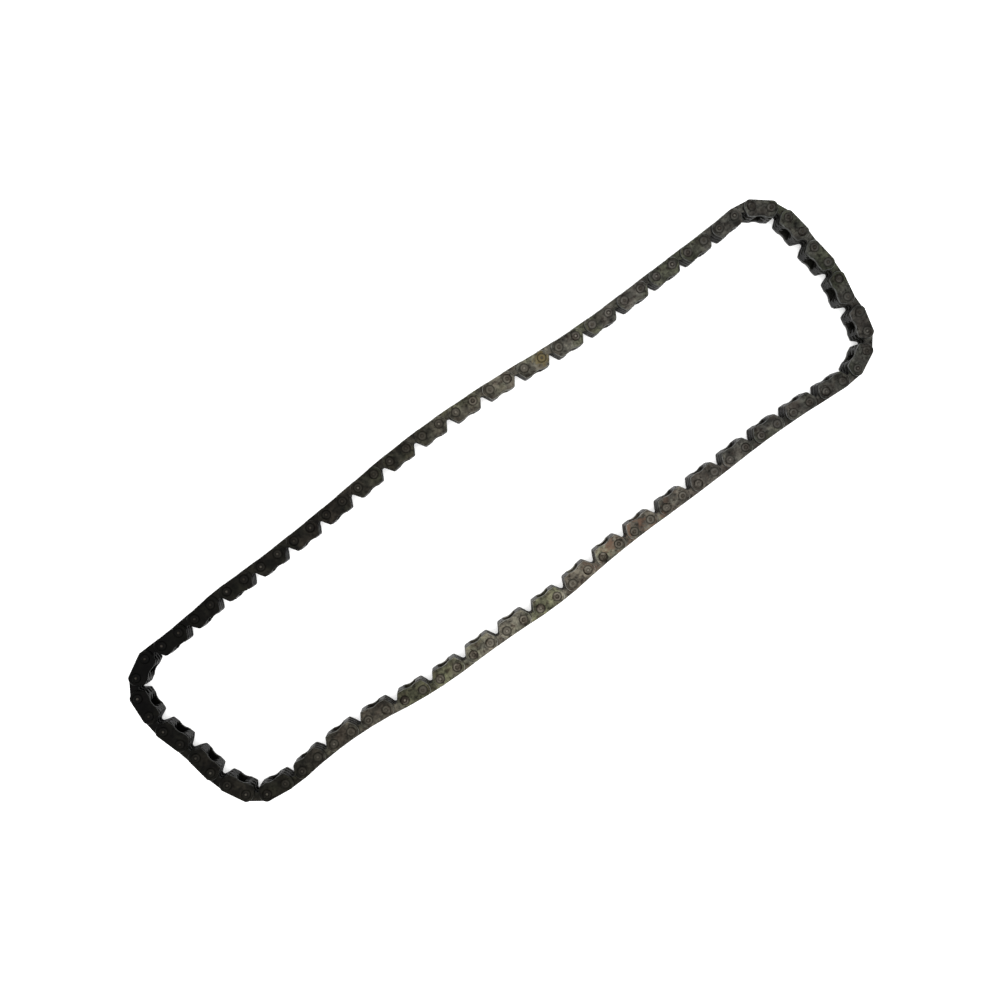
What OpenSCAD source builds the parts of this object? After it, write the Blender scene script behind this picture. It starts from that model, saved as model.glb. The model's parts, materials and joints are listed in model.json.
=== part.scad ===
// Inverted-tooth timing chain: an endless loop of 94 links, laid flat on its side.
// Guide links and inner links take turns. A guide link holds two riveted pins, a guide plate on each
// outer side and toothed plates between them. An inner link is toothed plates alone, one more of them,
// and turns on the pins of the guide links at its two ends. The teeth point into the loop.
// The origin is the middle of the loop on the face it rests on, with +X along the long runs.

/* [Chain] */
// Distance from one pin to the next
pitch = 6.35; // [5.8:0.05:9.6]
// Toothed plates side by side in a guide link, where an inner link has one more
guide_row_plates = 2; // [1:1:4]

/* [Toothed plates] */
// Thickness of a toothed plate
toothed_t = 0.9; // [0.6:0.05:1.5]
// Height of the teeth above the pin line
tooth_h = 3.3; // [3:0.05:3.8]
// Radius at the corners of a tooth's tip
tip_r = 0.5; // [0.25:0.05:0.65]
// Height of the floor between the two teeth above the pin line
crotch_h = 0.2; // [0:0.05:0.6]
// Radius of the floor between the two teeth
crotch_r = 0.7; // [0.4:0.05:0.85]
// Lean of the flanks, on both kinds of plate
flank_angle = 30; // [25:1:33]

/* [Guide plates] */
// Thickness of a guide plate
guide_t = 0.8; // [0.6:0.05:1.5]
// Height of a guide plate's inner edge above the pin line
guide_h = 3.2; // [2.9:0.05:3.7]
// Radius at the two corners of the inner edge
guide_corner_r = 0.6; // [0.3:0.05:0.9]
// Depth of the dip in the middle of the inner edge
dip_depth = 0.4; // [0.1:0.05:0.9]
// Radius of the dip
dip_r = 4; // [2.5:0.1:6]
// Depth of the waist in the middle of the back
waist_depth = 0.3; // [0.1:0.05:0.6]
// Radius of the waist
waist_r = 3; // [2:0.1:6]

/* [Pins] */
// Diameter of a pin
pin_d = 2.2; // [1.6:0.05:2.6]
// How far each end of a pin stands out of its guide plate
pin_proud = 0.25; // [0.15:0.05:0.5]
// How much wider than the pin its riveted end is, on each side
rivet_flare = 0.2; // [0.1:0.05:0.3]
// How much wider than the pin the countersink round it is, on each side
sink_flare = 0.45; // [0.35:0.05:0.6]
// Depth of the countersink
sink_depth = 0.35; // [0.2:0.05:0.5]
// Bevel round a pin's end
rivet_bevel = 0.1; // [0.05:0.01:0.14]
// Diameter of the punch mark in a pin's end
punch_d = 0.9; // [0.5:0.05:1.2]
// Depth of the punch mark
punch_depth = 0.12; // [0.05:0.01:0.2]

/* [Clearances] */
// Space between one plate's end and the next plate's end in the same row
end_gap = 1.5; // [1.1:0.05:1.8]
// Space between plates that lie side by side
side_gap = 0.05; // [0.02:0.01:0.1]
// Space round a pin where an inner link turns on it
running_fit = 0.04; // [0.02:0.01:0.08]
// Space round a pin where its own guide link holds it
holding_fit = 0.015; // [0.01:0.005:0.03]

/* [Hidden] */
$fn = 48;

// How the loop lies, anticlockwise, as stretches of pins: [pins, inward turn at each, in degrees].
// The turns at the first pin of the lower run, the right end and the upper run close the loop.
lower_run = [
    [5, -3], [4, 2.5], [4, -1], [3, 3], [5, -1.25], [5, 0.5], [5, -1.25], [1, 0.5], [1, 8]
];
right_end = [
    [1, 26], [1, 25], [1, 14], [1, -11], [2, 9], [1, -6], [1, 7], [1, 16], [1, 27], [1, 30], [1, 12]
];
upper_run = [
    [1, -0.5], [5, 0], [5, -1.25], [5, 0.75], [5, 1.25], [5, -0.5], [3, -1], [2, 3.5], [2, -2], [1, -1]
];
left_end = [
    [3, 28], [2, 10], [2, -4], [1, 8], [1, 11], [1, 27], [1, 29], [1, 8]
];

// Each end is jointed link by link, and each run in pairs of one guide link and one inner link.
end_links = 13;
run_pairs = 17;
// The inner link whose first hole is the loop's open pivot, and the space round the pin there
open_link = 65;
open_fit = 0.1;

// Radius of a plate's round ends, which is also the distance from the pin line to the back
end_r = (pitch - end_gap) / 2;
pin_r = pin_d / 2;
toothed_layers = 2 * guide_row_plates + 1;
layer_step = toothed_t + side_gap;
first_layer_z = pin_proud + guide_t + side_gap;
top_guide_z = first_layer_z + toothed_layers * layer_step;
pin_length = top_guide_z + guide_t + pin_proud;
// Centre of the round floor between the teeth
crotch_y = crotch_h + crotch_r;

function turns(stretches) = [for (s = stretches, i = [1:s[0]]) s[1]];
function total(values) = values * [for (v = values) 1];

// Headings of the links along one arc of the loop, from a first heading of 0
function headings(t) = [
    for (i = 0, a = 0; i <= len(t); a = a + (i < len(t) ? t[i] : 0), i = i + 1) a
];
function chord(h) = [total([for (a = h) cos(a)]), total([for (a = h) sin(a)])];

// Angle between sides a and b of a triangle whose third side is c
function corner(a, b, c) = acos((a * a + b * b - c * c) / (2 * a * b));

// The loop is three stiff arcs, whose chords make a triangle, so it closes at any turns.
arcs = [for (s = [lower_run, right_end, concat(upper_run, left_end)]) headings(turns(s))];
chords = [for (h = arcs) chord(h)];
sides = [for (c = chords) norm(c)];
second_side = 180 - corner(sides[0], sides[1], sides[2]);
third_side = second_side + 180 - corner(sides[1], sides[2], sides[0]);
side_headings = [0, second_side, third_side];
link_headings = [
    for (k = [0:2], a = arcs[k]) side_headings[k] - atan2(chords[k].y, chords[k].x) + a
];
links = len(link_headings);

walk = [
    for (i = 0, p = [0, 0]; i < links; p = p + pitch * [cos(link_headings[i]), sin(link_headings[i])], i = i + 1) p
];
function middle(v) = (min(v) + max(v)) / 2;
loop_middle = [middle([for (p = walk) p.x]), middle([for (p = walk) p.y])];
pins = [for (p = walk) p - loop_middle];

// A plate's outer flank runs from its round end to the corner circle of its tooth or inner edge.
function corner_x(h, r) = pitch / 2 + (end_r - r - (h - r) * sin(flank_angle)) / cos(flank_angle);
function on_circle(c, r, a) = c + r * [cos(a), sin(a)];
function mirrored(points) = [for (i = [len(points) - 1:-1:0]) [-points[i].x, points[i].y]];

// The half outline of any plate from the middle of its back to the top of its outer corner
function back_and_flank(h, r) = [
    [pitch / 2, -end_r],
    on_circle([pitch / 2, 0], end_r, flank_angle),
    on_circle([corner_x(h, r), h - r], r, flank_angle),
    [corner_x(h, r), h]
];

module both_sides() {
    children();
    mirror([1, 0]) children();
}

module plate_blank(half, h, r) {
    polygon(concat(half, mirrored(half)));
    both_sides() translate([pitch / 2, 0]) circle(r = end_r);
    both_sides() translate([corner_x(h, r), h - r]) circle(r = r);
}

module pin_holes(fit) {
    both_sides() translate([pitch / 2, 0]) circle(r = pin_r + fit);
}

// Guide plate: a waisted back, slanted flanks and a shallow dip where the toothed plates have teeth
module guide_outline() {
    difference() {
        plate_blank(back_and_flank(guide_h, guide_corner_r), guide_h, guide_corner_r);
        translate([0, guide_h + dip_r - dip_depth]) circle(r = dip_r);
        translate([0, -end_r - waist_r + waist_depth]) circle(r = waist_r);
        pin_holes(holding_fit);
    }
}

// Toothed plate: two teeth with leaning flanks and a round-floored crotch between them
module toothed_outline(first_fit, second_fit) {
    inner_x = (crotch_r + tip_r + (tooth_h - tip_r - crotch_y) * sin(flank_angle)) / cos(flank_angle);
    inner_tip = [inner_x, tooth_h - tip_r];
    tooth = [
        [inner_x, tooth_h],
        on_circle(inner_tip, tip_r, 180 - flank_angle),
        on_circle([0, crotch_y], crotch_r, -flank_angle),
        [0, crotch_y]
    ];
    difference() {
        union() {
            plate_blank(concat(back_and_flank(tooth_h, tip_r), tooth), tooth_h, tip_r);
            both_sides() translate(inner_tip) circle(r = tip_r);
        }
        translate([0, crotch_y]) circle(r = crotch_r);
        translate([-pitch / 2, 0]) circle(r = pin_r + first_fit);
        translate([pitch / 2, 0]) circle(r = pin_r + second_fit);
    }
}

// Guide plate lying with its countersinks downwards
module guide_plate() {
    color([0.33, 0.32, 0.28]) difference() {
        linear_extrude(guide_t) guide_outline();
        for (x = [-pitch / 2, pitch / 2])
            translate([x, 0, 0]) cylinder(h = sink_depth, r1 = pin_r + sink_flare, r2 = pin_r + holding_fit);
    }
}

module toothed_plate(layer, first_fit, second_fit) {
    color([0.21, 0.2, 0.18]) translate([0, 0, first_layer_z + layer * layer_step])
        linear_extrude(toothed_t) toothed_outline(first_fit, second_fit);
}

// Pin: turned steel, both ends riveted over in the countersinks and marked by the punch
module pin() {
    head_r = pin_r + rivet_flare;
    lower_end = [
        [0, punch_depth],
        [punch_d / 2, 0],
        [head_r - rivet_bevel, 0],
        [head_r, rivet_bevel],
        [head_r, pin_proud],
        [pin_r, pin_proud + sink_depth]
    ];
    upper_end = [for (i = [len(lower_end) - 1:-1:0]) [lower_end[i].x, pin_length - lower_end[i].y]];
    color([0.4, 0.37, 0.32]) rotate_extrude() polygon(concat(lower_end, upper_end));
}

module place_link(i) {
    after = pins[(i + 1) % links];
    translate((pins[i] + after) / 2) rotate(link_headings[i]) children();
}

// Guide link: two guide plates, the toothed plates of its own row and the two pins that hold them
module guide_link(i) {
    place_link(i) {
        translate([0, 0, pin_proud]) guide_plate();
        translate([0, 0, top_guide_z + guide_t]) mirror([0, 0, 1]) guide_plate();
        for (k = [1:guide_row_plates]) toothed_plate(2 * k - 1, holding_fit, holding_fit);
        for (x = [-pitch / 2, pitch / 2]) translate([x, 0, 0]) pin();
    }
}

// Inner link: toothed plates alone, turning on the pins of its two neighbours
module inner_link(i) {
    place_link(i)
        for (k = [0:guide_row_plates]) toothed_plate(2 * k, i == open_link ? open_fit : running_fit, running_fit);
}

// Even links are guide links and odd ones are inner links, all round the loop.
module link(i) {
    if (i % 2 == 0) guide_link(i);
    else inner_link(i);
}

// One row for each jointed piece of the chain: its name, its first link and how many links it has
function two_digits(n) = str(n < 10 ? "0" : "", n);
function kind(i) = i % 2 == 0 ? "guide" : "inner";
function end_pieces(side, first) = [
    for (k = [0:end_links - 1]) [str(side, "_", kind(first + k), "_link_", floor(k / 2) + 1), first + k, 1]
];
function run_pieces(side, first) = [
    for (k = [0:run_pairs - 1]) [str(side, "_link_pair_", two_digits(k + 1)), first + 2 * k, 2]
];
pieces = concat(
    run_pieces("lower", 0),
    end_pieces("right", 2 * run_pairs),
    run_pieces("upper", 2 * run_pairs + end_links),
    end_pieces("left", 4 * run_pairs + end_links)
);

for (piece = pieces)
    for (k = [0:piece[2] - 1]) link(piece[1] + k);
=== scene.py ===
# Endless inverted-tooth timing chain, laid on its side in a slack loop on a pale bench.
# Guide links hold the riveted pins, inner links turn on them, and the teeth point into the loop.
import json
import math

import bpy
import numpy as np
from mathutils import Matrix, Vector

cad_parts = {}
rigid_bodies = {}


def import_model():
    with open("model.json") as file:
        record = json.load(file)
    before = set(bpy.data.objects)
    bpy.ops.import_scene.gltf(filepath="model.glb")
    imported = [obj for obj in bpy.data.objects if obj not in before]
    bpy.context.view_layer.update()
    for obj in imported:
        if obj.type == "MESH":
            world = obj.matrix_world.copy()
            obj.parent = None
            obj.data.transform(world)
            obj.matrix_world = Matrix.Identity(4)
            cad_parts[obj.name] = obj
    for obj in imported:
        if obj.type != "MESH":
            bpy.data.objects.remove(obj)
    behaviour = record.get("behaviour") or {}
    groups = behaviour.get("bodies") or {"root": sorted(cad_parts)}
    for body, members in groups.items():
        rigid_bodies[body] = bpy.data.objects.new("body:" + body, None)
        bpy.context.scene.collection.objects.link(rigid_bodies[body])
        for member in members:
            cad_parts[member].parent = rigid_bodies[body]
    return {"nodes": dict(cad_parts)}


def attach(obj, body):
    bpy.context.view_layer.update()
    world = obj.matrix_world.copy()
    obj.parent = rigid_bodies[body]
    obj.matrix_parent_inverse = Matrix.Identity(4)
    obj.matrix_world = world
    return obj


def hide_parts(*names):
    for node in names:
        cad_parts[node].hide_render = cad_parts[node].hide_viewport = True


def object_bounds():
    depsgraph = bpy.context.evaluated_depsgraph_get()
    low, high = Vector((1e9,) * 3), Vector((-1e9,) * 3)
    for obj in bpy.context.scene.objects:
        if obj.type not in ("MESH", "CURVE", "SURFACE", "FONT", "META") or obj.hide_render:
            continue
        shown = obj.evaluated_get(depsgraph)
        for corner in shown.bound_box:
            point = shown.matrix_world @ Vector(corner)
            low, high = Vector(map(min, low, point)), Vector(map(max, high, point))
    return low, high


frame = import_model()
cad_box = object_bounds()
bpy.ops.object.select_all(action="DESELECT")

# Bench top: a wide pale sheet, a hair's breadth under the lower pin ends that the chain stands on.
# Its paint is matt and glows faintly, so the chain stands out dark with hardly any shadow.
bench_side = 6
bench_z = -0.00003
bench_finish = {
    "Base Color": (0.8, 0.8, 0.795, 1),
    "Emission Color": (1, 1, 1, 1),
    "Emission Strength": 0.3,
    "Roughness": 0.85,
    "Specular IOR Level": 0.1,
}
bpy.ops.mesh.primitive_plane_add(size=bench_side, location=(0, 0, bench_z))
bench = bpy.context.object
bench.name = "bench_top"
bench_paint = bpy.data.materials.new("pale_bench")
bench_paint.use_nodes = True
for socket, value in bench_finish.items():
    bench_paint.node_tree.nodes["Principled BSDF"].inputs[socket].default_value = value
bench.data.materials.append(bench_paint)

# Light: a dim white room and one broad soft lamp straight above the chain.
# Little light comes in from the sides, so the teeth stay dark under the plates' lit faces.
room = bpy.data.worlds.new("white_room")
bpy.context.scene.world = room
room.use_nodes = True
room_light = room.node_tree.nodes["Background"].inputs
room_light["Color"].default_value = (1, 1, 1, 1)
room_light["Strength"].default_value = 0.85
lamp_data = bpy.data.lights.new("soft_lamp", "AREA")
lamp_data.shape = "DISK"
lamp_data.size = 1.2
lamp_data.energy = 12.5
lamp = bpy.data.objects.new("soft_lamp", lamp_data)
bpy.context.collection.objects.link(lamp)
lamp.location = (0.02, -0.06, 0.8)
bpy.context.scene.view_settings.view_transform = "Standard"

# Camera: held close above the chain and turned, so the loop runs up the picture from left to right.
# Its height and lean are those at which both ends show their plates' edges as the photograph does.
camera_at = (-0.01407, 0.01462, 0.26459)
turn_about_z, lean_about_y, lean_about_x = (math.radians(a) for a in (-35.59, 3.753, 0.647))
camera_data = bpy.data.cameras.new("camera")
camera = bpy.data.objects.new("camera", camera_data)
bpy.context.collection.objects.link(camera)
camera_data.sensor_width = 36
camera_data.lens = 29.93
camera_data.clip_start = 0.01
camera_turn = Matrix.Rotation(turn_about_z, 4, "Z")
camera_lean = Matrix.Rotation(lean_about_y, 4, "Y") @ Matrix.Rotation(lean_about_x, 4, "X")
camera.matrix_world = Matrix.Translation(camera_at) @ camera_turn @ camera_lean.inverted()
bpy.context.scene.camera = camera

# Lay of the chain: every second link is a guide link, with two pins of its own, listed round the loop.
# Each pin stands where its riveted end shows on the solids, so the pieces follow the chain's lay.
guide_links = [f"lower_link_pair_{k:02d}" for k in range(1, 18)]
guide_links += [f"right_guide_link_{k}" for k in range(1, 8)]
guide_links += [f"upper_link_pair_{k:02d}" for k in range(1, 18)]
guide_links += [f"left_guide_link_{k}" for k in range(1, 7)]
lone_inner_links = [f"right_inner_link_{k}" for k in range(1, 7)]
lone_inner_links += [f"left_inner_link_{k}" for k in range(1, 8)]
top_skin = 1e-5


def riveted_ends(name):
    # The flat tops of a guide link's two pins, told apart by their side of the middle
    points = np.array([v.co for v in frame["nodes"][name].data.vertices])
    tops = points[points[:, 2] > points[:, 2].max() - top_skin][:, :2]
    out = tops - (tops.min(axis=0) + tops.max(axis=0)) / 2
    side = out @ out[np.argmax((out * out).sum(axis=1))] > 0
    return [(tops[s].min(axis=0) + tops[s].max(axis=0)) / 2 for s in (side, ~side)]


def seat(first, second):
    # Where a link sits: halfway between its two pins, turned along them
    middle, along = (first + second) / 2, second - first
    return Matrix.Translation((*middle, 0)) @ Matrix.Rotation(math.atan2(along[1], along[0]), 4, "Z")


pins = []
for name in guide_links:
    ends = riveted_ends(name)
    before = pins[-1] if pins else np.array(cad_box[0][:2])
    ends.sort(key=lambda end: np.linalg.norm(end - before))
    pins += ends
guide_seats = [seat(pins[i], pins[i + 1]) for i in range(0, len(pins), 2)]
inner_seats = [seat(pins[i], pins[(i + 1) % len(pins)]) for i in range(1, len(pins), 2)]

# An inner link moves with the guide link before it in the lower run, with the one after it in the upper
# run, and by itself at both ends.
inner_links = []
for link, after in zip(guide_links, guide_links[1:] + guide_links[:1]):
    shared = link if link.startswith("lower") else after if after.startswith("upper") else None
    inner_links.append(shared or lone_inner_links.pop(0))

# Pins: short turned rods of hardened steel, two to a guide link, set through every plate.
# Each end is riveted over into a low round head in its countersink and marked by the punch.
pitch = 0.00635
pin_r = 0.0011
pin_sides = 20
chain_top = cad_box[1][2]
weld = 1e-7


def pen_at(x, y, z=0):
    # An outline starts as one vertex, made from a primitive merged to its middle
    bpy.ops.object.select_all(action="DESELECT")
    bpy.ops.mesh.primitive_plane_add(size=pitch)
    bpy.ops.object.mode_set(mode="EDIT")
    bpy.ops.mesh.select_all(action="SELECT")
    bpy.ops.mesh.merge(type="CENTER")
    bpy.ops.transform.translate(value=(x, y, z))
    return Vector((x, y, z))


def pen_to(last, x, y, z=0):
    # The pen draws a straight line to the next point
    point = Vector((x, y, z))
    bpy.ops.mesh.extrude_vertices_move(TRANSFORM_OT_translate={"value": point - last})
    return point


def close_and_turn_out():
    # Doubled points are welded and every face is turned outwards
    bpy.ops.mesh.select_all(action="SELECT")
    bpy.ops.mesh.remove_doubles(threshold=weld)
    bpy.ops.mesh.normals_make_consistent(inside=False)


# A pin's outline, as radius and height: from the middle of its lower end up, and turned over at its top
punch_mark = [(0, 0.00012), (0.00036, 0.0001)]
crown = [(0.00048, 0.00001), (0.00078, 0), (0.00105, 0.00001)]
flare = [(0.00122, 0.00007), (0.00134, 0.00016), (0.00142, 0.00025)]
neck = [(pin_r, 0.0006)]
lower_end = punch_mark + crown + flare + neck
upper_end = [(r, chain_top - z) for r, z in reversed(lower_end)]
pen = pen_at(lower_end[0][0], 0, lower_end[0][1])
for r, z in lower_end[1:] + upper_end:
    pen = pen_to(pen, r, 0, z)
bpy.ops.mesh.select_all(action="SELECT")
bpy.ops.mesh.spin(steps=pin_sides, angle=math.tau, center=(0, 0, 0), axis=(0, 0, 1))
close_and_turn_out()
bpy.ops.transform.translate(value=(-pitch / 2, 0, 0))
bpy.ops.mesh.duplicate_move(TRANSFORM_OT_translate={"value": (pitch, 0, 0)})
bpy.ops.object.mode_set(mode="OBJECT")
pin_pair = bpy.context.object
bpy.ops.object.shade_smooth_by_angle(angle=math.radians(32))


def new_steel(name, gloss, roughness=0.5, metallic=0.0):
    # A steel finish: its material, the place on the piece, a way to add nodes and a way to coat the shader
    steel = bpy.data.materials.new(name)
    steel.use_nodes = True
    tree = steel.node_tree
    shader = tree.nodes["Principled BSDF"]
    shader.inputs["Specular IOR Level"].default_value = gloss
    shader.inputs["Roughness"].default_value = roughness
    shader.inputs["Metallic"].default_value = metallic

    def add(kind, inputs=(), **settings):
        node = tree.nodes.new("ShaderNode" + kind)
        for key, value in settings.items():
            setattr(node, key, value)
        for socket, value in dict(inputs).items():
            if isinstance(value, bpy.types.NodeSocket):
                tree.links.new(value, node.inputs[socket])
            else:
                node.inputs[socket].default_value = value
        return node

    def coat(socket, value):
        tree.links.new(value, shader.inputs[socket])

    return steel, add("TexCoord").outputs["Object"], add, coat


def noise(add, here, scale, detail, roughness):
    texture = add("TexNoise", {"Vector": here, "Scale": scale, "Detail": detail, "Roughness": roughness})
    return texture.outputs["Fac"]


def stretch(add, value, low=0, high=1, to_low=0, to_high=1):
    # The value's span from low to high is stretched to another span, and held at its ends
    spans = {"From Min": low, "From Max": high, "To Min": to_low, "To Max": to_high}
    return add("MapRange", {"Value": value, **spans}).outputs["Result"]


def reckon(add, operation, *values):
    return add("Math", dict(enumerate(values)), operation=operation).outputs[0]


def away_from(add, here, place):
    return add("VectorMath", {0: here, 1: place}, operation="DISTANCE").outputs["Value"]


def ramp(add, value, *stops):
    # Colours by the value, from one stop to the next
    node = add("ValToRGB", {"Fac": value})
    while len(node.color_ramp.elements) < len(stops):
        node.color_ramp.elements.new(0.5)
    for element, (place, colour) in zip(node.color_ramp.elements, stops):
        element.position = place
        element.color = (*colour, 1)
    return node.outputs["Color"]


def blend(add, kind, share, first, second):
    node = add("Mix", {0: share, 6: first, 7: second}, data_type="RGBA", blend_type=kind)
    return node.outputs[2]


def oil_and_light_tone(add, here):
    # Tone along the chain, partly oil and dust and partly painted shade for how the light fell: near black
    # at the left end and along the upper run beside it, where the oil is wet, and lighter from there;
    # brightest in the middle of both runs, a duller bluer grey towards the right end
    at = add("SeparateXYZ", {0: here}).outputs
    drift = noise(add, here, scale=25, detail=2, roughness=0.5)
    wander = reckon(add, "SUBTRACT", drift, 0.5)
    slant = reckon(add, "MULTIPLY_ADD", at["Y"], -1.2, at["X"])
    slant = reckon(add, "MULTIPLY_ADD", wander, 0.05, slant)
    dried = stretch(add, slant, low=-0.15, high=0.03)
    oil = ramp(
        add, dried,
        (0, (0.01, 0.01, 0.009)), (0.27, (0.075, 0.075, 0.07)), (0.42, (0.12, 0.12, 0.115)),
        (0.5, (0.22, 0.22, 0.21)), (0.57, (0.35, 0.35, 0.34)), (0.67, (0.6, 0.6, 0.59)), (0.85, (1, 1, 1)))
    far_right = stretch(add, at["X"], high=0.13)
    dust_and_shade = ramp(add, far_right, (0.1, (1, 1, 1)), (0.5, (0.58, 0.6, 0.66)), (0.95, (0.42, 0.445, 0.49)))
    return blend(add, "MULTIPLY", 1.0, oil, dust_and_shade)


# A colour darkened by the oil and by the painted shade along the chain
def oiled(add, here, bare):
    return blend(add, "MULTIPLY", 1.0, bare, oil_and_light_tone(add, here))


def ochre_stain(add, here, clean):
    # Dried oil has left an ochre stain round one rivet of the upper run
    stained_rivet, ochre, strength = (0.0341, 0.0308, 0.0066), (0.09, 0.068, 0.025, 1), 0.6
    raggedness, soft_edge = 0.006, 0.0018
    ragged = noise(add, here, scale=900, detail=2, roughness=0.6)
    reach = reckon(add, "MULTIPLY_ADD", ragged, -raggedness, away_from(add, here, stained_rivet))
    stain = stretch(add, reach, low=-soft_edge, high=0, to_low=strength, to_high=0)
    return blend(add, "MIX", stain, clean, ochre)


# One rivet's middle is rubbed light and the next is not, as the bench or a rail has reached it.
pin_steel, here, add, coat = new_steel("riveted_pin_steel", gloss=0.3, metallic=0.9)
grime = noise(add, here, scale=900, detail=3, roughness=0.6)
rubbed = noise(add, here, scale=190, detail=1, roughness=0.5)
rubbed = stretch(add, rubbed, low=0.44, high=0.54)
dark_head = ramp(
    add, grime, (0.35, (0.01, 0.008, 0.006)), (0.5, (0.02, 0.016, 0.0115)), (0.65, (0.042, 0.036, 0.027)))
light_head = ramp(
    add, grime, (0.3, (0.026, 0.022, 0.017)), (0.5, (0.042, 0.037, 0.029)), (0.7, (0.076, 0.069, 0.055)))
head = ochre_stain(add, here, blend(add, "MIX", rubbed, dark_head, light_head))
coat("Base Color", oiled(add, here, head))
coat("Roughness", stretch(add, grime, to_low=0.35, to_high=0.6))

# The worked rim of each rivet is stained dark in patches, with light metal showing between them.
rivet_stain, here, add, coat = new_steel("stained_rivet_rim", gloss=0.25, roughness=0.55, metallic=0.85)
grime = noise(add, here, scale=340, detail=4, roughness=0.7)
stained = ramp(
    add, grime, (0.36, (0.013, 0.01, 0.007)), (0.46, (0.038, 0.031, 0.023)), (0.56, (0.085, 0.076, 0.06)))
worn_metal = (0.062, 0.057, 0.045, 1)
worn_off = noise(add, here, scale=150, detail=1, roughness=0.5)
worn_off = stretch(add, worn_off, low=0.47, high=0.56, to_high=0.7)
rim = ochre_stain(add, here, blend(add, "MIX", worn_off, stained, worn_metal))
coat("Base Color", oiled(add, here, rim))

# The punch marks are dark on some rivets and on others carry a painted highlight, a light dot that stays
# light even where the oil is thick.
highlight_mark, here, add, coat = new_steel("punch_mark_painted_highlight", gloss=0.3, roughness=0.4, metallic=0.9)
chance = noise(add, here, scale=270, detail=1, roughness=0.5)
painted_glint = ramp(add, chance, (0.5, (0.026, 0.022, 0.016)), (0.62, (0.07, 0.063, 0.051)))
# The painted highlight takes only part of the darkening along the chain
highlight_through_oil = blend(add, "MIX", 0.3, oil_and_light_tone(add, here), (1, 1, 1, 1))
coat("Base Color", blend(add, "MULTIPLY", 1.0, painted_glint, highlight_through_oil))

head_finish, rim_finish, mark_finish = 0, 1, 2
rim_from_r, mark_to_r = 0.0008, 0.0004
for steel in (pin_steel, rivet_stain, highlight_mark):
    pin_pair.data.materials.append(steel)
for face in pin_pair.data.polygons:
    off_axis = math.hypot(abs(face.center.x) - pitch / 2, face.center.y)
    on_rim, on_mark = off_axis > rim_from_r, off_axis < mark_to_r
    face.material_index = rim_finish if on_rim else mark_finish if on_mark else head_finish


def lay_out(shape, seats, bodies, label):
    # One copy of a piece in each link's seat, with a mesh of its own
    for number, (place, body) in enumerate(zip(seats, bodies), start=1):
        piece = shape.copy()
        piece.data = shape.data.copy()
        piece.data.transform(place)
        piece.name = f"{label}_{number:02d}"
        bpy.context.collection.objects.link(piece)
        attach(piece, body)
        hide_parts(body)
    bpy.data.objects.remove(shape)


lay_out(pin_pair, guide_seats, guide_links, "pins")

# Toothed plates: blanked from thin strip, with two pin holes and two teeth that face into the loop.
# A guide link has two of them, and an inner link three, laid between its neighbours' plates.
end_r = 0.002425
flank_degrees = 30
flank = math.radians(flank_degrees)
tooth_h, tip_r, crotch_r, crotch_y = 0.0033, 0.0005, 0.0007, 0.0009
toothed_t, toothed_ease = 0.0009, 0.00006
run_fit = 0.00004
layer_step, first_layer_z = 0.00095, 0.0011
layers = [first_layer_z + layer_step * k for k in range(5)]
same_height = 1e-6


def spin_pen(last, x, y, degrees, steps):
    # The pen runs round a centre, anticlockwise for a positive angle
    centre = Vector((x, y, 0))
    bpy.ops.mesh.spin(steps=steps, angle=math.radians(-degrees), center=centre, axis=(0, 0, 1))
    return centre + Matrix.Rotation(math.radians(degrees), 3, "Z") @ (last - centre)


def on_circle(x, y, r, angle):
    return x + r * math.cos(angle), y + r * math.sin(angle)


def corner_x(height, r):
    # Where a corner of radius r has its centre, so that it touches the flank and the plate's inner edge
    return pitch / 2 + (end_r - r - (height - r) * math.sin(flank)) / math.cos(flank)


def stamp(thickness, ease):
    # The half outline is mirrored, filled, raised to the strip's thickness and its rims are eased
    bpy.ops.object.mode_set(mode="OBJECT")
    blank = bpy.context.object
    half = blank.modifiers.new("other_half", "MIRROR")
    half.merge_threshold = same_height
    bpy.ops.object.modifier_apply(modifier="other_half")
    bpy.ops.object.mode_set(mode="EDIT")
    bpy.ops.mesh.select_all(action="SELECT")
    bpy.ops.mesh.remove_doubles(threshold=weld)
    bpy.ops.mesh.edge_face_add()
    bpy.ops.mesh.extrude_region_move(TRANSFORM_OT_translate={"value": (0, 0, thickness)})
    close_and_turn_out()
    bpy.ops.mesh.select_all(action="DESELECT")
    bpy.ops.object.mode_set(mode="OBJECT")
    heights = [v.co.z for v in blank.data.vertices]
    for edge in blank.data.edges:
        low, high = (heights[v] for v in edge.vertices)
        edge.select = abs(high - low) < same_height
    bpy.ops.object.mode_set(mode="EDIT")
    bpy.ops.mesh.bevel(offset=ease, segments=1, affect="EDGES")
    bpy.ops.object.mode_set(mode="OBJECT")
    return blank


def cut_out(blank, punch):
    # The punch's shape is cut out of the blank, and the punch is taken away
    cut = blank.modifiers.new("hole", "BOOLEAN")
    cut.object = punch
    cut.operation = "DIFFERENCE"
    cut.solver = "EXACT"
    bpy.context.view_layer.objects.active = blank
    bpy.ops.object.modifier_apply(modifier="hole")
    bpy.data.objects.remove(punch)


def pierce(blank, depth, r_low, r_high, z, sides):
    # Both pin holes are cut with one straight or tapered punch
    for x in (-pitch / 2, pitch / 2):
        bpy.ops.object.select_all(action="DESELECT")
        bpy.ops.mesh.primitive_cone_add(
            vertices=sides, radius1=r_low, radius2=r_high, depth=depth, location=(x, 0, z))
        punch = bpy.context.object
        bpy.ops.object.transform_apply()
        cut_out(blank, punch)


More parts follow.
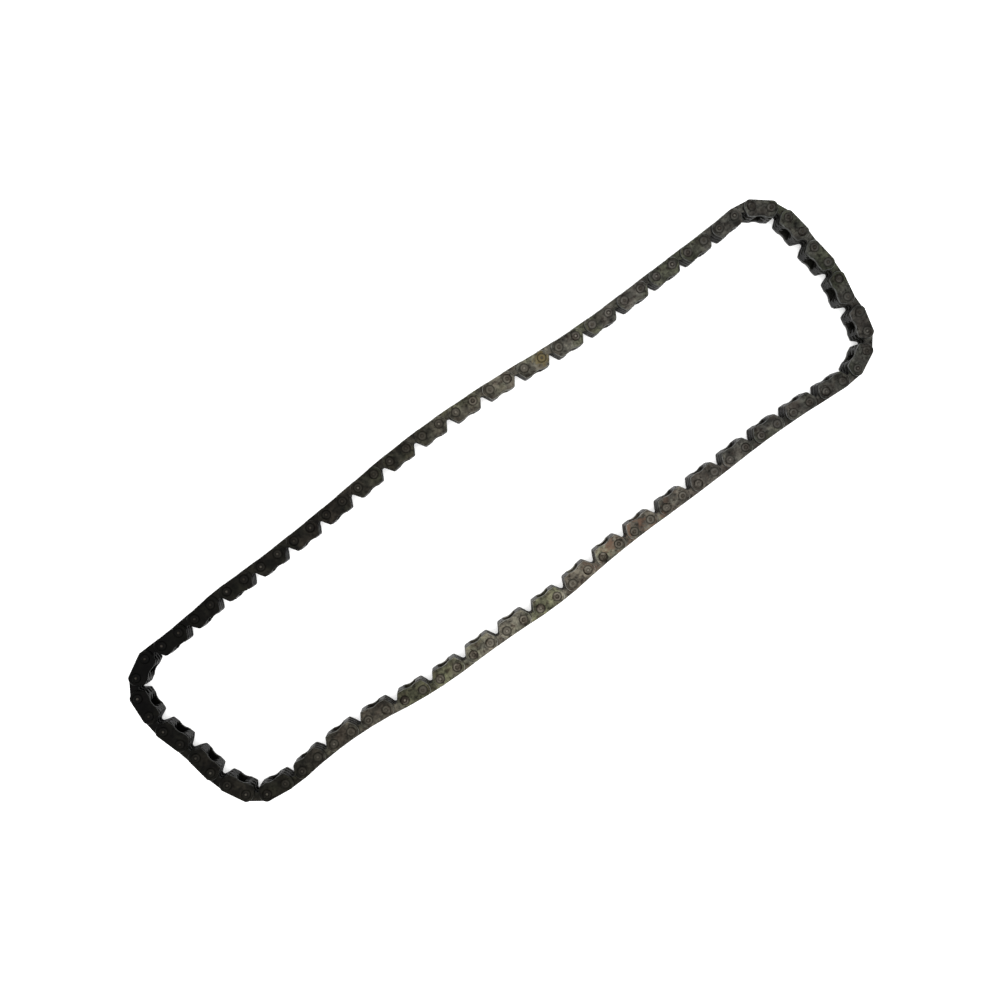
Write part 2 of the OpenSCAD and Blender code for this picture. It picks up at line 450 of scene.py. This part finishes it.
tip_y = tooth_h - tip_r
tip_x = corner_x(tooth_h, tip_r)
inner_x = (crotch_r + tip_r + (tip_y - crotch_y) * math.sin(flank)) / math.cos(flank)
pen = pen_at(0, -end_r)
pen = pen_to(pen, pitch / 2, -end_r)
pen = spin_pen(pen, pitch / 2, 0, 90 + flank_degrees, steps=7)
pen = pen_to(pen, *on_circle(tip_x, tip_y, tip_r, flank))
pen = spin_pen(pen, tip_x, tip_y, 90 - flank_degrees, steps=2)
pen = pen_to(pen, inner_x, tooth_h)
pen = spin_pen(pen, inner_x, tip_y, 90 - flank_degrees, steps=2)
pen = pen_to(pen, *on_circle(0, crotch_y, crotch_r, -flank))
pen = spin_pen(pen, 0, crotch_y, flank_degrees - 90, steps=3)
toothed_plate = stamp(toothed_t, toothed_ease)
running_r = pin_r + run_fit
pierce(toothed_plate, toothed_t * 2, running_r, running_r, toothed_t / 2, sides=12)
bpy.ops.object.shade_smooth_by_angle(angle=math.radians(30))


def worn_oxide(add, here):
    # Black oxide worn unevenly: mottled dark and light, greenish or brownish from link to link,
    # with flecks of rust that are thickest by one link of the lower run
    patches = noise(add, here, scale=260, detail=4, roughness=0.62)
    bare = ramp(
        add, patches,
        (0.34, (0.022, 0.021, 0.017)), (0.5, (0.054, 0.051, 0.0415)), (0.66, (0.105, 0.099, 0.079)))
    flecks = ramp(
        add, noise(add, here, scale=950, detail=3, roughness=0.7),
        (0.36, (0.22, 0.21, 0.2)), (0.46, (0.74, 0.74, 0.74)), (0.56, (1, 1, 1)), (0.68, (1.35, 1.34, 1.3)))
    flecked = blend(add, "MULTIPLY", 1.0, bare, flecks)
    green, grey, brown = (0.87, 0.94, 0.68), (0.97, 0.97, 0.93), (1, 0.91, 0.87)
    hue = noise(add, here, scale=55, detail=3, roughness=0.6)
    tinted = blend(add, "MULTIPLY", 0.85, flecked, ramp(add, hue, (0.38, green), (0.5, grey), (0.6, brown)))
    rustiest_link, rust = (0.025, -0.031, 0.006), (0.078, 0.047, 0.031, 1)
    near = stretch(add, away_from(add, here, rustiest_link), low=0.006, high=0.022, to_low=1, to_high=0.14)
    spots = noise(add, here, scale=330, detail=4, roughness=0.7)
    spots = stretch(add, spots, low=0.48, high=0.6, to_high=0.8)
    rusted = blend(add, "MIX", reckon(add, "MULTIPLY", spots, near), tinted, rust)
    return patches, ochre_stain(add, here, rusted)


def grain_bump(add, here, scale, detail, roughness, strength):
    # The strip's fine rolled grain
    grain = noise(add, here, scale, detail, roughness)
    return add("Bump", {"Height": grain, "Strength": strength, "Distance": 0.00002}).outputs["Normal"]


# The toothed plates' faces are worn oxide; their cut edges are painted near black, a painted shade for sides
# the overhead lamp hardly reaches.
plate_steel, here, add, coat = new_steel("oxide_steel_shaded_edges", gloss=0.2, metallic=0.85)
facing = add("SeparateXYZ", {0: add("NewGeometry").outputs["Normal"]}).outputs["Z"]
# Faces that look up or down take the oxide, the cut edges the painted shade
flatness = reckon(add, "ABSOLUTE", facing)
patches, oxide = worn_oxide(add, here)
edge = ramp(
    add, patches, (0.3, (0.006, 0.0057, 0.005)), (0.5, (0.016, 0.0153, 0.0137)), (0.7, (0.042, 0.04, 0.036)))
coat("Base Color", oiled(add, here, blend(add, "MIX", flatness, edge, oxide)))
coat("Roughness", stretch(add, patches, to_low=0.62, to_high=0.4))
coat("Normal", grain_bump(add, here, scale=2600, detail=3, roughness=0.55, strength=0.35))

# The crotch between the teeth is painted near black, a painted shade in that recess, mottled and toned along
# the chain like the rest.
crotch_shade, here, add, coat = new_steel("crotch_painted_shade", gloss=0.15, roughness=0.7)
shade_mottle = noise(add, here, scale=1500, detail=2, roughness=0.5)
crotch_shade_colour = ramp(add, shade_mottle, (0.3, (0.004, 0.0035, 0.0025)), (0.7, (0.026, 0.022, 0.017)))
coat("Base Color", oiled(add, here, crotch_shade_colour))

# The backs are a lighter, mottled grey than the faces.
rim_steel, here, add, coat = new_steel("lighter_grey_rim", gloss=0.25, metallic=0.85)
wear = noise(add, here, scale=420, detail=4, roughness=0.65)
rubbed = ramp(
    add, wear, (0.32, (0.05, 0.048, 0.042)), (0.5, (0.16, 0.155, 0.135)), (0.66, (0.32, 0.31, 0.28)))
coat("Base Color", oiled(add, here, rubbed))
coat("Roughness", stretch(add, wear, to_low=0.6, to_high=0.35))

oxide_finish, crotch_finish, back_finish = 0, 1, 2
for steel in (plate_steel, crotch_shade, rim_steel):
    toothed_plate.data.materials.append(steel)
for face in toothed_plate.data.polygons:
    cut_edge = abs(face.normal.z) < 0.9
    # Cut edges in the crotch take the painted shade
    in_crotch = cut_edge and abs(face.center.x) < tip_x - 2 * tip_r and 0 < face.center.y < tip_y
    on_back = cut_edge and face.center.y < -end_r * 0.9
    face.material_index = crotch_finish if in_crotch else back_finish if on_back else oxide_finish


def stack(shape, places, name):
    # Copies of a plate, one at each place, joined into one piece
    bpy.ops.object.select_all(action="DESELECT")
    for place in places:
        plate = shape.copy()
        plate.data = shape.data.copy()
        plate.data.transform(place)
        bpy.context.collection.objects.link(plate)
        plate.select_set(True)
        bpy.context.view_layer.objects.active = plate
    bpy.ops.object.join()
    bpy.context.object.name = name
    return bpy.context.object


guide_row = stack(toothed_plate, [Matrix.Translation((0, 0, z)) for z in layers[1::2]], "guide_row")
inner_row = stack(toothed_plate, [Matrix.Translation((0, 0, z)) for z in layers[::2]], "inner_row")
bpy.data.objects.remove(toothed_plate)
lay_out(guide_row, guide_seats, guide_links, "guide_link_teeth")
lay_out(inner_row, inner_seats, inner_links, "inner_link_teeth")

# Loose joint: one inner link of the upper run turns on its pin with more space than the rest have.
# Its three plates' holes are reamed wider there in one go.
loose_pin = 65
loose_link = bpy.data.objects[f"inner_link_teeth_{loose_pin // 2 + 1:02d}"]
loose_r = pin_r + 0.0001
bpy.ops.object.select_all(action="DESELECT")
bpy.ops.mesh.primitive_cylinder_add(
    vertices=24, radius=loose_r, depth=chain_top * 2, location=(*pins[loose_pin], 0))
cut_out(loose_link, bpy.context.object)

# Guide plates: the outer plates of a guide link, one under and one over its stack, with no teeth.
# Their back is cut straight, a little below the toothed plates' backs, which alone run on the guide rails.
# Their inner edge dips a little, and each hole is countersunk for the rivet.
guide_t, guide_h, guide_ease = 0.0008, 0.0032, 0.00016
guide_corner_r, dip_depth, dip_r, back_set_in = 0.0006, 0.0004, 0.004, 0.00015
press_fit, pin_proud = 0.000015, 0.00025
sink_depth, sink_flare, sink_sides = 0.00035, 0.00045, 20
guide_corner_x, guide_corner_y = corner_x(guide_h, guide_corner_r), guide_h - guide_corner_r
back_y = back_set_in - end_r
back_half = math.sqrt(end_r ** 2 - back_y ** 2)
dip_half = math.acos((dip_r - dip_depth) / dip_r)
pen = pen_at(0, back_y)
pen = pen_to(pen, pitch / 2 + back_half, back_y)
pen = spin_pen(pen, pitch / 2, 0, flank_degrees - math.degrees(math.atan2(back_y, back_half)), steps=7)
pen = pen_to(pen, *on_circle(guide_corner_x, guide_corner_y, guide_corner_r, flank))
pen = spin_pen(pen, guide_corner_x, guide_corner_y, 90 - flank_degrees, steps=3)
pen = pen_to(pen, dip_r * math.sin(dip_half), guide_h)
pen = spin_pen(pen, 0, guide_h + dip_r - dip_depth, -math.degrees(dip_half), steps=4)
guide_plate = stamp(guide_t, guide_ease)
seated_r = pin_r + press_fit
pierce(guide_plate, guide_t * 2, seated_r, seated_r, guide_t / 2, sink_sides)
pierce(guide_plate, sink_depth, pin_r + sink_flare, seated_r, sink_depth / 2, sink_sides)
bpy.ops.object.shade_smooth_by_angle(angle=math.radians(30))

# Their faces have the same worn oxide, a little rougher in grain than the toothed plates'.
guide_steel, here, add, coat = new_steel("rubbed_black_steel", gloss=0.2, metallic=0.85)
patches, oxide = worn_oxide(add, here)
coat("Base Color", oiled(add, here, oxide))
coat("Roughness", stretch(add, patches, to_low=0.66, to_high=0.42))
coat("Normal", grain_bump(add, here, scale=2200, detail=4, roughness=0.6, strength=0.4))

# The countersinks are stained like the rivets' rims, and the eased rims are as light a grey as the backs.
oxide_finish, sink_finish, rim_finish = 0, 1, 2
sink_reach = 0.0016
for steel in (guide_steel, rivet_stain, rim_steel):
    guide_plate.data.materials.append(steel)
for face in guide_plate.data.polygons:
    from_pin = abs(abs(face.center.x) - pitch / 2)
    near_hole = from_pin < sink_reach and abs(face.center.y) < sink_reach
    in_sink = near_hole and -0.98 < face.normal.z < -0.2
    on_rim = not near_hole and 0.2 < abs(face.normal.z) < 0.95
    face.material_index = sink_finish if in_sink else rim_finish if on_rim else oxide_finish

# The upper plate is the lower one turned over, and the pin ends stand proud of both by the same height.
turned_over = Matrix.Translation((0, 0, chain_top - pin_proud)) @ Matrix.Rotation(math.pi, 4, "Y")
as_stamped = Matrix.Translation((0, 0, pin_proud))
plate_pair = stack(guide_plate, [turned_over, as_stamped], "plate_pair")
bpy.data.objects.remove(guide_plate)
lay_out(plate_pair, guide_seats, guide_links, "guide_plates")
